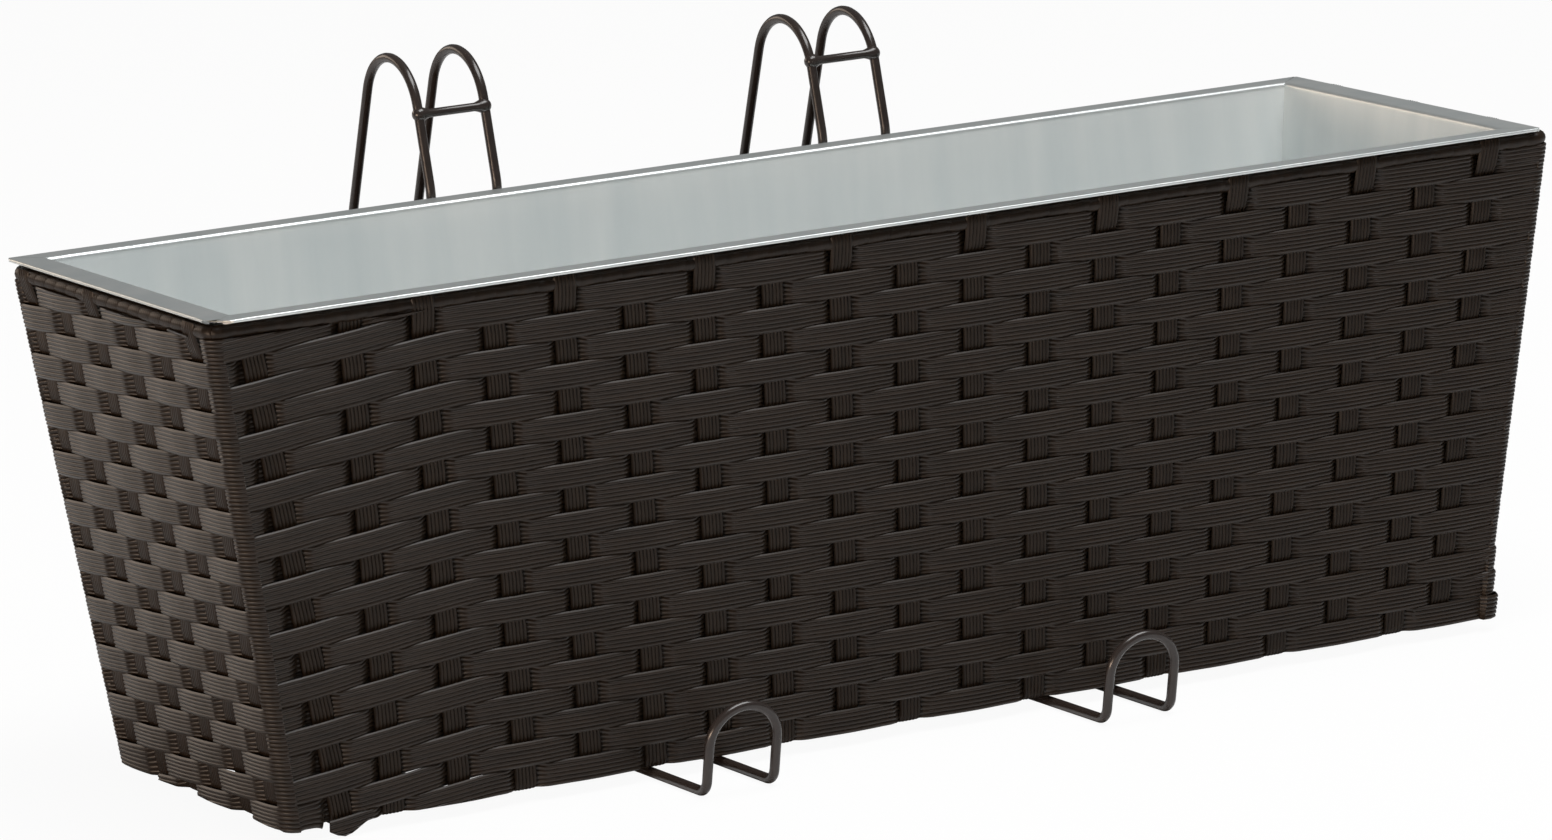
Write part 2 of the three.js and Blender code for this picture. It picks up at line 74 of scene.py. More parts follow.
RIB_COUNT = 6
RIB_STEPS = 4  # points to a rib
RIB_DEPTH = 0.5
RIB_ROUNDNESS = 0.7  # 1 is a half wave, less is fuller
EDGE_DROP = 0.3  # a strip is thinner at its two edges
EDGE_SHARPNESS = 6
EDGE_BEVEL = 0.1
OUTER_SHARE = 0.965  # width of a strip's ribbed side, by the width of its back

ROD_RADIUS = 2
HOOK_RADIUS = ROD_RADIUS + CLEARANCE
BASE_ROD_Z = BASKET_BASE_Z + STAKE_THICKNESS + HOOK_RADIUS
BASE_ROD_INSET = 5.233
TOP_ROD_INSET = 0.6
TOP_ROD_Z = RIM_TOP_Z - STAKE_THICKNESS - HOOK_RADIUS
RIM_CORNER_RADIUS = 5
BASE_CORNER_RADIUS = 8

BINDING_RADIUS = 3.15
BINDING_BORE = HOOK_RADIUS - 0.1
BINDING_RIB_PITCH = 1.5
BINDING_RIB_DEPTH = 0.3
BINDING_STEP = 0.35  # depth of the groove where one turn meets the next
BINDING_FULLNESS = 0.4
MITRE_TURN = math.radians(44.5)  # the binding of a wall ends half way round its corners

ROW_COUNT = 20
RIM_COVER = 5.6  # the rim hides this much of the walls
BASE_MARGIN = 0.8
WEAVE_TOP_Z = RIM_TOP_Z - RIM_COVER
WEAVE_FOOT_Z = BASKET_BASE_Z + BASE_MARGIN
ROW_PITCH = (WEAVE_TOP_Z - WEAVE_FOOT_Z) / ROW_COUNT
ROW_OVERLAP = 0.25
WEFT_WIDTH = ROW_PITCH + ROW_OVERLAP
WEFT_THICKNESS = 1
ROW_DRIFT = 0.06  # how far a course may lie off its row
DRIFT_SEED = 100
ROUND_DROP = 2  # rows by which a course sinks in a round
SINK_SHARE = 0.31  # share of half the front wall over which it sinks by the first of them
SINK_EASE = 0.12  # rows over which the sinking sets in

FLOAT_OUT = 1.7  # middle of a strip that passes outside the stakes
FLOAT_PLAY = 0.15
FLOAT_BULGE = 1.1  # how much further it stands out right over one
BULGE_REACH = 22
BULGE_STEPS = (5, 10, 15)  # stations on both sides of a stake
CORNER_OUT = 0.5  # how much further it stands out at a corner
CORNER_SPREAD = 0.2
CORNER_TURN = (8, 82)  # degrees past a wall between which a strip is led round its corner
SEAM_TURN = (43, 47)  # where a strip ends and starts, at the back left corner
TUCK_OUT = -1.35  # where a strip passes inside a stake
TUCK_HALF = 4.4
TUCK_REACH = 9.6
TUCK_STEPS = (TUCK_HALF, 5.2, 6.1, 7, 8.2, TUCK_REACH)
TUCK_STEEPNESS = 0.75
UNDERLAP = 1.1  # a tucked strip reaches behind the ones above and below it

THIN_STRIP = 2.4  # no strip shows narrower than this at the base
THIN_START = 0.8  # or than this where it comes out under the rim
CUT_STEP = 0.01  # keeps the points of a cut edge apart
LUMP_PLACES = ((249, 12, 4.8), (276, 11, 3.6))  # ends wrapped round the base: place, reach, drop
LUMP_CORNER = 268  # the front left corner hangs down as the front wall would at this place
CORNER_SWELL = {17: 0.8, 18: 1.8, 19: 4}  # lowest rows at the front right corner
SWELL_START = 0.2  # the part of a half wave that the swelling follows round the corner
SWELL_SPAN = 0.6

# A stake that shows at the rim: distance out, depth, and direction of its outer face.
RIM_FOLD = ((1.7, 0.9, 1.0), (2.15, 2.4, 0.4), (2.15, 4.4, 0))  # depth below the rim
RIM_TAIL = ((1.9, 1.4, -0.1), (1.4, 4.4, -0.15), (0.9, 7, -0.1))  # depth below the weave's top
HIDDEN_TAIL = ((0.6, -0.4, 0),)  # the same for a stake that passes inside the top strip
RIM_TEST_ROWS = 0.4  # rows below the weave's top at which a stake is outside or inside
SHOWN_START_ROWS = 0.95  # rows below the weave's top at which the bends of a stake start
HIDDEN_START_ROWS = 0.45
FOOT_BEND_RISE = 1.2  # height over the base rod at which a stake starts to fold round it
FADE_HEIGHT = 8  # height over the base rod up to which its sway is weaker

SHEET = 0.7
FLANGE_TOP_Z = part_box("liner_trough")[1].z / MM
LINER_FOOT_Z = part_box("liner_trough")[0].z / MM
HEM_DEPTH = 1.4
HEM_THICKNESS = 1.1
END_FLANGE_WIDTH = 12
SIDE_FLANGE_WIDTH = 10
LINER_MIDDLE_X = (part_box("liner_end_left")[0].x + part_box("liner_end_right")[1].x) / 2 / MM
FLANGE_END_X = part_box("liner_end_right")[1].x / MM - LINER_MIDDLE_X
FLANGE_EDGE_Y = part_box("liner_trough")[1].y / MM
LINER_FOOT_HALF_WIDTH = 61.92
BEND_RADIUS = 1.6
FLOOR_BEND_RADIUS = 4
FOLD_HEIGHT = 0.9  # depth below the flange's underside down to which a fold is part of it
SEAM_GAP = 0.05
MITRE_GAP = 0.12
CORNER_CUT = {"front_left": 9, "front_right": 2, "back_left": 2.5, "back_right": 3}
BUCKLE = 0.14  # soft waves of the long walls: depth, and the length of each over a radian
BUCKLE_LENGTHS = (53, 21)

WIRE_RADIUS = 1.95
WIRE_SLOT = 2  # the wire's radius in the solids
WIRE_TIP = 0.8  # share of the radius that is left at the wire's cut ends
TIP_TAPER = 0.02  # share of the back leg over which they taper
# Radius of the crossbar and its weld, by the distance past the middle of the wire.
WELD_BEAD = ((2.5, 0.6), (2.2, 1.6), (1.4, 2.5), (0, 3), (-1.5, 2.9), (-2.8, 2.3), (-4.5, 1.75))
ARM_SPACING = 29.5
HANGER_X = {"left": -99, "right": 80}
ARCH_RADIUS = 22
ARCH_RISE = {"left": 30, "right": 25}
FRONT_LEAN = math.radians(13)
BACK_LEAN = math.radians(19.5)
BACK_LEG_DROP = 40
CROSSBAR_RISE = 32
KNEE_RISE = 2  # height over the flange at which the legs bend back
KNEE_BEND = 3
HEEL_RADIUS = 8
TOE_RADIUS = 6
TOE_REACH = 34
TOE_HEIGHT = 33
TOE_LEAN = math.radians(12)

CAMERA_PLACE = (-1647.2, -2870.1, 778.1)
CAMERA_FORWARD = (0.48473, 0.85177, -0.19882)
CAMERA_ROLL = math.radians(2.559)
CAMERA_LENS = 199.26


def lerp(a, b, t):
    return a + (b - a) * t


def smooth_step(t):
    t = min(1, max(0, t))
    return t * t * (3 - 2 * t)


def rise(z):
    return (z - BASKET_BASE_Z) / BASKET_HEIGHT


# ---------------------------------------------------------------- meshes


def make_piece(name, shape, material, body, slot, *nodes, sharp=40):
    """A smooth-shaded piece from a shape in millimetres, which stands for the given solids. An
    edge sharper than so many degrees stays sharp."""
    mesh = bpy.data.meshes.new(name)
    mesh.from_pydata([Vector(p) * MM for p in shape.points], [], shape.faces)
    shaped = bmesh.new()
    shaped.from_mesh(mesh)
    bmesh.ops.recalc_face_normals(shaped, faces=shaped.faces)
    shaped.to_mesh(mesh)
    shaped.free()
    mesh.polygons.foreach_set("use_smooth", [True] * len(mesh.polygons))
    mesh.set_sharp_from_angle(angle=math.radians(sharp))
    mesh.materials.append(material)
    piece = bpy.data.objects.new(name, mesh)
    bpy.context.scene.collection.objects.link(piece)
    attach(piece, body)
    if nodes:
        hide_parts(*nodes)
    return piece


class Shape:
    """Collects the points and faces of one piece, in millimetres."""

    def __init__(self):
        self.points = []
        self.faces = []

    def join(self, a, b, count):
        """A ring of faces between the loops that start at the points a and b."""
        for i in range(count):
            j = (i + 1) % count
            self.faces.append((a + i, a + j, b + j, b + i))

    def add_loops(self, sections):
        """Joins loops of points, one after another. Gives where the first and the last start."""
        count = len(sections[0])
        first = len(self.points)
        for section in sections:
            self.points.extend(section)
        starts = [first + s * count for s in range(len(sections))]
        for here, there in zip(starts, starts[1:]):
            self.join(here, there, count)
        return starts[0], starts[-1]

    def sweep(self, sections):
        """A closed body through loops of points."""
        for start in self.add_loops(sections):
            self.faces.append(tuple(range(start, start + len(sections[0]))))

    def sleeve(self, outer, inner):
        """A tube with a bore: two sets of loops, joined by a ring at each end."""
        outer_ends = self.add_loops(outer)
        inner_ends = self.add_loops(inner)
        for a, b in zip(outer_ends, inner_ends):
            self.join(a, b, len(outer[0]))


def circle(radius, steps):
    angles = [math.tau * i / steps for i in range(steps)]
    return [(radius * math.cos(a), radius * math.sin(a)) for a in angles]


def arc(centre, radius, start, end, steps):
    """Points of an arc in a plane, from the angle start to the angle end."""
    angles = [lerp(start, end, i / steps) for i in range(steps + 1)]
    return [(centre[0] + radius * math.cos(a), centre[1] + radius * math.sin(a)) for a in angles]


def wire_sections(path, radii, steps=16):
    """Circles along a path of points, carried along without twist."""
    side = Vector((1, 0, 0))
    sections = []
    for i, point in enumerate(path):
        ahead = path[min(i + 1, len(path) - 1)] - path[max(i - 1, 0)]
        direction = ahead.normalized()
        side = (side - direction * side.dot(direction)).normalized()
        across = direction.cross(side)
        sections.append([point + side * x + across * y for x, y in circle(radii[i], steps)])
    return sections


# ---------------------------------------------------------------- the tapered wall


class Wall:
    """One side of the basket. A point on it has a place along the wall from its middle, a
    height, and a distance outside the wall's middle surface."""

    def __init__(self, name, along, normal, is_long):
        self.name = name
        self.along = Vector(along)
        self.normal = Vector(normal)
        self.top = WALL_LENGTH_TOP if is_long else WALL_WIDTH_TOP
        self.foot = WALL_LENGTH_FOOT if is_long else WALL_WIDTH_FOOT
        self.depth_top = WALL_WIDTH_TOP if is_long else WALL_LENGTH_TOP
        self.depth_foot = WALL_WIDTH_FOOT if is_long else WALL_LENGTH_FOOT
        margins = LONG_MARGINS if is_long else END_MARGINS
        bays = round((self.top - margins["top"][1] - margins["top"][2]) / STAKE_PITCH)
        self.stake_tops = self.stake_places(self.top / 2, margins["top"], bays)
        self.stake_feet = self.stake_places(self.foot / 2, margins["foot"], bays)

    def stake_places(self, half, margins, bays):
        first, second, last_but_one, last = margins
        inner = [lerp(second - half, half - last_but_one, i / bays) for i in range(bays + 1)]
        return [first - half, *inner, half - last]

    def stakes_at(self, z):
        return [lerp(foot, top, rise(z)) for foot, top in zip(self.stake_feet, self.stake_tops)]

    def half_at(self, z):
        return lerp(self.foot, self.top, rise(z)) / 2

    def distance_at(self, z):
        return lerp(self.depth_foot, self.depth_top, rise(z)) / 2

    def point(self, place, z, out):
        spot = self.normal * (self.distance_at(z) + out) + self.along * place
        spot.z = z
        return spot

    def corner_point(self, turn, z, out, radius=WALL_CORNER_RADIUS):
        """A point on the rounded corner at the wall's end, turn radians past the wall."""
        direction = self.normal * math.cos(turn) + self.along * math.sin(turn)
        spot = self.normal * (self.distance_at(z) - radius) + self.along * (self.half_at(z) - radius)
        spot += direction * (radius + out)
        spot.z = z
        return spot


WALLS = [
    Wall("back", (1, 0, 0), (0, 1, 0), True),
    Wall("right", (0, -1, 0), (1, 0, 0), False),
    Wall("front", (-1, 0, 0), (0, -1, 0), True),
    Wall("left", (0, 1, 0), (-1, 0, 0), False),
]


# ---------------------------------------------------------------- level strips


def rib_profile(width, thickness, steps=RIB_STEPS):
    """A strip's section: ribs on its outer side and a flat inner side, as pairs of the place
    across the strip and the distance from its middle."""
    profile = []
    for i in range(RIB_COUNT * steps + 1):
        share = i / (RIB_COUNT * steps)
        swell = abs(math.sin(math.pi * share * RIB_COUNT)) ** RIB_ROUNDNESS
        drop = EDGE_DROP * abs(2 * share - 1) ** EDGE_SHARPNESS
        across = (share - 0.5) * width * OUTER_SHARE
        profile.append((across, thickness / 2 - RIB_DEPTH * (1 - swell) - drop))
    edge = width / 2
    bevel = EDGE_BEVEL - thickness / 2
    return profile + [(edge, bevel), (0, -thickness / 2), (-edge, bevel)]


def rows_sunk(wall, share):
    """How many rows a course lies lower than where it starts, by the share of the half wall
    at which it is: -1 at the wall's start, 1 at its end. It sinks by the first row at the end
    of the front wall and by the second along the left wall."""
    if wall.name == "left":
        return 1.5 + share / 2
    if wall.name != "front":
        return 0
    sunk = 1 - (1 - share) / SINK_SHARE
    if sunk < -SINK_EASE:
        return 0
    return sunk if sunk > SINK_EASE else (sunk + SINK_EASE) ** 2 / (4 * SINK_EASE)


def tuck(distance):
    """1 where a strip lies behind a stake, 0 where it is back outside, by the distance."""
    share = max(0, (distance - TUCK_HALF) / (TUCK_REACH - TUCK_HALF))
    return 1 - smooth_step(min(1, share) ** TUCK_STEEPNESS)


def wall_stations(wall, row, first_stake, dice):
    """Places where a course is shaped on one wall: a function that gives a point by its height
    and distance out, the rows sunk, the distance out of the strip's middle, what is added to
    both its edges, and how far it may hang below the base."""
    z = WEAVE_TOP_Z - (row + 0.5 + rows_sunk(wall, 0)) * ROW_PITCH
    half = wall.half_at(z)
    last = half - WALL_CORNER_RADIUS
    stakes = wall.stakes_at(z)
    inside = [s for i, s in enumerate(stakes) if (row + first_stake + i) % 2]
    outside = [s for s in stakes if s not in inside]
    places = {-last, last, *stakes}
    for stake in inside:
        for step in TUCK_STEPS:
            places.update((stake - step, stake + step))
    for stake in outside:
        for step in BULGE_STEPS:
            places.update((stake - step, stake + step))
    if wall.name == "front":
        for at, reach, _ in LUMP_PLACES:
            places.update(at + reach * step / 4 for step in range(-4, 5))
    lift = {s: dice.uniform(-FLOAT_PLAY, FLOAT_PLAY) for s in stakes}
    for place in sorted(p for p in places if abs(p) <= last):
        deepest = max((tuck(abs(place - s)) for s in inside), default=0)
        nearest = min(stakes, key=lambda s: abs(s - place))
        over = min((abs(place - s) for s in outside), default=STAKE_PITCH)
        bulge = FLOAT_BULGE * smooth_step(1 - over / BULGE_REACH)
        out = lerp(FLOAT_OUT + lift[nearest] + bulge, TUCK_OUT, deepest)
        spread = UNDERLAP * deepest
        spot = partial(wall.point, place)
        yield spot, rows_sunk(wall, place / half), out, spread, base_drop(wall, place)


def base_drop(wall, place):
    """How far the lowest strip hangs below the base where its end is wrapped round it."""
    if wall.name != "front":
        return 0
    return max(drop * smooth_step(1 - abs(place - at) / reach) for at, reach, drop in LUMP_PLACES)


def corner_stations(wall, row, first, last, steps=4):
    """The same on the corner at a wall's end, from one angle past the wall to another."""
    sunk = rows_sunk(wall, 1)
    drop = base_drop(wall, LUMP_CORNER)
    swell = CORNER_SWELL.get(row, 0) if wall.name == "right" else 0
    for i in range(steps + 1):
        turn = math.radians(lerp(first, last, i / steps))
        wave = math.sin(math.pi * (SWELL_START + SWELL_SPAN * i / steps))
        out = FLOAT_OUT + CORNER_OUT + swell * wave
        yield partial(wall.corner_point, turn), sunk, out, CORNER_SPREAD, drop


def course_stations(row):
    """One turn of a strip, from the middle of the back left corner round to it again. It starts
    unsunk, though the rest of that corner belongs to the turn that ends there two rows lower."""
    dice = random.Random(row)
    first_stake = 0
    corner_start, corner_end = CORNER_TURN
    seam_end, seam_start = SEAM_TURN
    for place, _, *shape in corner_stations(WALLS[-1], row, seam_start, corner_end, 2):
        yield place, 0, *shape
    for wall in WALLS:
        yield from wall_stations(wall, row, first_stake, dice)
        first_stake += len(wall.stake_tops)
        last = seam_end if wall is WALLS[-1] else corner_end
        yield from corner_stations(wall, row, corner_start, last)


def cut_section(profile, place, out, edges, base):
    """A strip's section between its two edges, cut off level at the base and under the rim."""
    top_edge = RIB_COUNT * RIB_STEPS
    section = []
    for i, (v, n) in enumerate(profile):
        low = base + CUT_STEP * min(i, len(profile) - 1 - i)
        high = WEAVE_TOP_Z - CUT_STEP * abs(i - top_edge)
        z = lerp(*edges, v + 0.5)
        section.append(place(min(max(z, low), high), out + n))
    return section


def weave_course(index, material):
    """A strip led round once, left out where its row lies above the rim or below the base."""
    row = index - ROUND_DROP
    drift = random.Random(DRIFT_SEED + index).uniform(-ROW_DRIFT, ROW_DRIFT)
    profile = rib_profile(1, WEFT_THICKNESS)
    sections = []
    for place, sunk, out, spread, drop in course_stations(row):
        middle = WEAVE_TOP_Z - (row + sunk + 0.5) * ROW_PITCH + drift
        top = middle + WEFT_WIDTH / 2 + spread
        foot = middle - WEFT_WIDTH / 2 - spread
        base = WEAVE_FOOT_Z - drop
        if top - base < THIN_STRIP or WEAVE_TOP_Z - foot < THIN_START:
            continue
        if base < foot < base + THIN_STRIP:
            foot = base
        sections.append(cut_section(profile, place, out, (foot, top), base))
    strip = Shape()
    strip.sweep(sections)
    number = f"{index + 1:02d}"
    node = f"weft_course_{number}"
    make_piece(f"weft_strip_{number}", strip, material, "basket", "wicker", node)


# ---------------------------------------------------------------- upright strips and the rim


def stake_path(wall, index, number):
    """A stake in the plane across the wall, as (out, z, direction of its outer face): from
    the rim binding down the wall and round the base rod."""
    mid = STAKE_THICKNESS / 2
    bend = HOOK_RADIUS + mid
    sunk = rows_sunk(wall, wall.stake_tops[index] * 2 / wall.top)

    def pressed(z):
        row = (WEAVE_TOP_Z - z) / ROW_PITCH - sunk - 0.5
        return -STAKE_SWAY * math.cos(math.pi * (row + number))

    shows_at_rim = pressed(WEAVE_TOP_Z - ROW_PITCH * RIM_TEST_ROWS) > 0
    fold, tail = (RIM_FOLD, RIM_TAIL) if shows_at_rim else ((), HIDDEN_TAIL)
    path = [(out, RIM_TOP_Z - depth, facing) for out, depth, facing in fold]
    path += [(out, WEAVE_TOP_Z - depth, facing) for out, depth, facing in tail]
    steps = ROW_COUNT * 2
    start = WEAVE_TOP_Z - ROW_PITCH * (SHOWN_START_ROWS if shows_at_rim else HIDDEN_START_ROWS)
    end = BASE_ROD_Z + FOOT_BEND_RISE
    for i in range(steps + 1):
        z = lerp(start, end, i / steps)
        fade = min(1, (z - BASE_ROD_Z) / FADE_HEIGHT)
        path.append((pressed(z) * fade, z, 0))
    for x, z in arc((-bend, BASE_ROD_Z), bend, 0, -math.pi / 2, 6):
        path.append((x, z, math.atan2(z - BASE_ROD_Z, x + bend)))
    for x, z in arc((-BASE_ROD_INSET, BASE_ROD_Z), bend, -math.pi / 2, -math.pi, 6):
        path.append((x, z, math.atan2(z - BASE_ROD_Z, x + BASE_ROD_INSET)))
    path.append((-BASE_ROD_INSET - bend, BASE_ROD_Z + ROD_RADIUS - CLEARANCE, -math.pi))
    return path


def stake(shape, wall, index, number):
    """Adds one stake to a wall's shape. Its number round the basket says when it is outside."""
    profile = rib_profile(STAKE_WIDTH, STAKE_THICKNESS, 3)
    sections = []
    for out, z, facing in stake_path(wall, index, number):
        section = []
        for across, n in profile:
            height = z + n * math.sin(facing)
            place = lerp(wall.stake_feet[index], wall.stake_tops[index], rise(height))
            section.append(wall.point(place + across, height, out + n * math.cos(facing)))
        sections.append(section)
    shape.sweep(sections)


def wall_stakes(wall, material):
    """All stakes of a wall, as one piece."""
    shape = Shape()
    first = sum(len(w.stake_tops) for w in WALLS[:WALLS.index(wall)])
    for index in range(len(wall.stake_tops)):
        stake(shape, wall, index, first + index)
    name = f"{wall.name}_stakes"
    make_piece(f"{wall.name}_uprights", shape, material, "basket", "wicker", name)


def rim_place(wall, length):
    """A point function for a place on the rim rod, by the length from the wall's middle."""
    straight = wall.half_at(TOP_ROD_Z) - RIM_CORNER_RADIUS
    before = WALLS[WALLS.index(wall) - 1]
    turn = (abs(length) - straight) / (RIM_CORNER_RADIUS - TOP_ROD_INSET)

    def place(z, out):
        if turn <= 0:
            spot = wall.normal * (wall.distance_at(TOP_ROD_Z) + out) + wall.along * length
        elif length > 0:
            spot = wall.corner_point(turn, TOP_ROD_Z, out, RIM_CORNER_RADIUS)
        else:
            spot = before.corner_point(math.pi / 2 - turn, TOP_ROD_Z, out, RIM_CORNER_RADIUS)
        spot.z = z
        return spot

    return place


def rim_binding(wall, material):
    """A ribbed strip wound round the top rod, with a step where each turn meets the next."""
    steps_round = 16
    straight = wall.half_at(TOP_ROD_Z) - RIM_CORNER_RADIUS
    half = straight + (RIM_CORNER_RADIUS - TOP_ROD_INSET) * MITRE_TURN
    count = round(2 * half / (BINDING_RIB_PITCH / 4))
    outer = []
    for i in range(count + 1):
        length = lerp(-half, half, i / count)
        place = rim_place(wall, length)
        loop = []
        for x, y in circle(1, steps_round):
            wound = length / BINDING_RIB_PITCH + RIB_COUNT * math.atan2(y, x) / math.tau
            rib = abs(math.sin(math.pi * wound)) ** RIB_ROUNDNESS
            bulge = math.sin(math.pi * (wound / RIB_COUNT % 1)) ** BINDING_FULLNESS
            reach = BINDING_RADIUS - BINDING_RIB_DEPTH * (1 - rib) - BINDING_STEP * (1 - bulge)
            loop.append(place(TOP_ROD_Z + y * reach, x * reach - TOP_ROD_INSET))
        outer.append(loop)
    bore = circle(BINDING_BORE, steps_round)
    bend = straight + 2
    inner = []
    for length in (-half, -bend, -straight, straight, bend, half):
        place = rim_place(wall, length)
        inner.append([place(TOP_ROD_Z + y, x - TOP_ROD_INSET) for x, y in bore])
    shape = Shape()
    shape.sleeve(outer, inner)
    name = f"{wall.name}_stakes"
    make_piece(f"{wall.name}_rim_binding", shape, material, "basket", "wicker", name)


# ---------------------------------------------------------------- liner


def liner_half_width(z):
    """Half the liner's outer width at a height."""
    fold = FLANGE_EDGE_Y - SIDE_FLANGE_WIDTH
    return lerp(LINER_FOOT_HALF_WIDTH, fold, (z - LINER_FOOT_Z) / (FLANGE_TOP_Z - LINER_FOOT_Z))


def liner_half_length(z):
    """Half the liner's outer length at a height: its ends are as steep as the basket's."""
    taper = (WALL_LENGTH_TOP - WALL_LENGTH_FOOT) / 2 / BASKET_HEIGHT
    return FLANGE_END_X - END_FLANGE_WIDTH - (FLANGE_TOP_Z - z) * taper


def rounded(points, radii, steps=5):
    """A path's points, with each corner that has a radius rounded."""
    result = []
    for i, point in enumerate(points):
        here = Vector(point)
        if not radii[i]:
            result.append(here)
            continue
        before = (Vector(points[i - 1]) - here).normalized()
        after = (Vector(points[i + 1]) - here).normalized()
        half_angle = before.angle(after) / 2
        centre = here + (before + after).normalized() * (radii[i] / math.sin(half_angle))
        start = here + before * (radii[i] / math.tan(half_angle)) - centre
        end = here + after * (radii[i] / math.tan(half_angle)) - centre
        for s in range(steps + 1):
            result.append(centre + start.lerp(end, s / steps).normalized() * radii[i])
    return result


def folded_sheet(foot, knee, edge):
    """A bent sheet's section: up a wall from its foot, out at its knee, and round the hem at
    its edge. Gives the outer face with the hem, and the inner face."""
    flange_z = FLANGE_TOP_Z - SHEET
    path = [*foot, (knee, flange_z)]
    radii = [0] * len(foot) + [BEND_RADIUS - SHEET]
    if len(foot) > 1:
        radii[1] = FLOOR_BEND_RADIUS
    hem_start = edge - HEM_THICKNESS
    flange_start = knee + 1
    stops = [lerp(flange_start, hem_start, i / 7) for i in range(8)]
    outer = rounded([*path, (flange_start, flange_z)], [*radii, 0])[:-1]
    outer += [Vector((s, flange_z)) for s in stops]
    inner = []
    for i, point in enumerate(outer):
        run = (outer[min(i + 1, len(outer) - 1)] - outer[max(i - 1, 0)]).normalized()
        inner.append(point + Vector((-run.y, run.x)) * SHEET)
    radius = HEM_THICKNESS / 2
    middle = edge - radius
    hem = arc((middle, FLANGE_TOP_Z - HEM_DEPTH + radius), radius, -math.pi, 0, 6)
    hem += arc((middle, FLANGE_TOP_Z - radius), radius, 0, math.pi / 2, 4)
    return outer + [Vector(p) for p in hem], inner


def corner_limit(across, edge_across, edge_along, cut):
    """How far a flange reaches along at a distance across, inside the tray's rounded corner."""
    past = across - (edge_across - cut)
    if past <= 0:
        return edge_along
    return edge_along - cut + math.sqrt(max(0, cut * cut - min(past, cut) ** 2))


def corner_cut(x, y):
    """Radius at which the flange is cut off at the corner on the same side as a point."""
    return CORNER_CUT[("back" if y > 0 else "front") + ("_right" if x > 0 else "_left")]


def trough_end(y, z, side):
    """How far the trough reaches to one side: inside the end plate, or to the flange's mitre."""
    fold_x = FLANGE_END_X - END_FLANGE_WIDTH - SHEET
    fold_y = FLANGE_EDGE_Y - SIDE_FLANGE_WIDTH - SHEET
    if z < FLANGE_TOP_Z - SHEET - FOLD_HEIGHT and abs(y) < fold_y + SHEET:
        return liner_half_length(z) - SHEET - SEAM_GAP
    share = max(0, (abs(y) - fold_y) / (FLANGE_EDGE_Y - fold_y))
    mitre = lerp(fold_x, FLANGE_END_X, share) - MITRE_GAP
    return min(mitre, corner_limit(abs(y), FLANGE_EDGE_Y, FLANGE_END_X, corner_cut(side, y)))


def trough(material):
    """Front flange, front wall, floor, back wall and back flange, bent from one sheet."""
    foot = [(0, LINER_FOOT_Z), (liner_half_width(LINER_FOOT_Z), LINER_FOOT_Z)]
    knee = liner_half_width(FLANGE_TOP_Z - SHEET)
    outer, inner = folded_sheet(foot, knee, FLANGE_EDGE_Y)
    half = outer + inner[:0:-1]
    mirror = [Vector((-p.x, p.y)) for p in half[1:]]
    loop = [*half, inner[0], *mirror[::-1]]
    dice = random.Random(7)
    phase = dice.uniform(0, math.tau)
    short_phase = dice.uniform(0, math.tau)
    long, short = BUCKLE_LENGTHS
    count = 60
    sections = []
    for i in range(count + 1):
        t = 2 * i / count - 1
        section = []
        for p in loop:
            x = t * trough_end(p.x, p.y, t)
            share = (p.y - LINER_FOOT_Z) / (FLANGE_TOP_Z - LINER_FOOT_Z)
            wave = math.sin(x / long + phase) + 0.5 * math.sin(x / short + short_phase)
            fade = math.sin(math.pi * min(1, max(0, share))) * (1 - t**8)  # nothing at the edges
            buckle = BUCKLE * fade * wave
            section.append(Vector((LINER_MIDDLE_X + x, p.x + math.copysign(buckle, p.x), p.y)))
        sections.append(section)
    shape = Shape()
    shape.sweep(sections)
    name = "liner_trough"
    make_piece("liner_folded_trough", shape, material, "liner", "zinc_sheet", name, sharp=50)


def plate_end(x, z, side, end):
    """How far an end plate reaches to the back or front: inside the trough, or to the mitre."""
    fold_x = FLANGE_END_X - END_FLANGE_WIDTH - SHEET
    fold_y = FLANGE_EDGE_Y - SIDE_FLANGE_WIDTH - SHEET
    if z < FLANGE_TOP_Z - SHEET - FOLD_HEIGHT and x < fold_x + SHEET:
        return liner_half_width(z) - SHEET - SEAM_GAP
    share = max(0, (x - fold_x) / (FLANGE_END_X - fold_x))
    mitre = lerp(fold_y, FLANGE_EDGE_Y, share) - MITRE_GAP
    return min(mitre, corner_limit(x, FLANGE_END_X, FLANGE_EDGE_Y, corner_cut(side, end)))


def end_plate(side, material):
    """An end wall with its own flange, between the trough's walls: side is -1 left, 1 right."""
    foot = [(liner_half_length(LINER_FOOT_Z), LINER_FOOT_Z + SHEET + SEAM_GAP)]
    knee = liner_half_length(FLANGE_TOP_Z - SHEET)
    outer, inner = folded_sheet(foot, knee, FLANGE_END_X)
    loop = outer + inner[::-1]
    count = 24
    sections = []
    for i in range(count + 1):
        t = 2 * i / count - 1
        section = []
        for p in loop:
            y = t * plate_end(p.x, p.y, side, t)
            section.append(Vector((LINER_MIDDLE_X + side * p.x, y, p.y)))
        sections.append(section)
    shape = Shape()
    shape.sweep(sections)
    place = "right" if side > 0 else "left"
    name = f"liner_end_{place}"
    make_piece(f"liner_plate_{place}", shape, material, "liner", "zinc_sheet", name, sharp=50)


# ---------------------------------------------------------------- rail hangers

LEG_Y = FLANGE_EDGE_Y + CLEARANCE + WIRE_SLOT
ARM_Z = BASKET_BASE_Z - CLEARANCE - WIRE_SLOT
KNEE_Z = FLANGE_TOP_Z + KNEE_RISE
TOE_Y = -WALL_WIDTH_FOOT / 2 - TOE_REACH


def front_leg_y(z):
    """Where the leg of a hanger next to the box stands, above its knee."""
    return LEG_Y + (z - KNEE_Z) * math.tan(FRONT_LEAN)


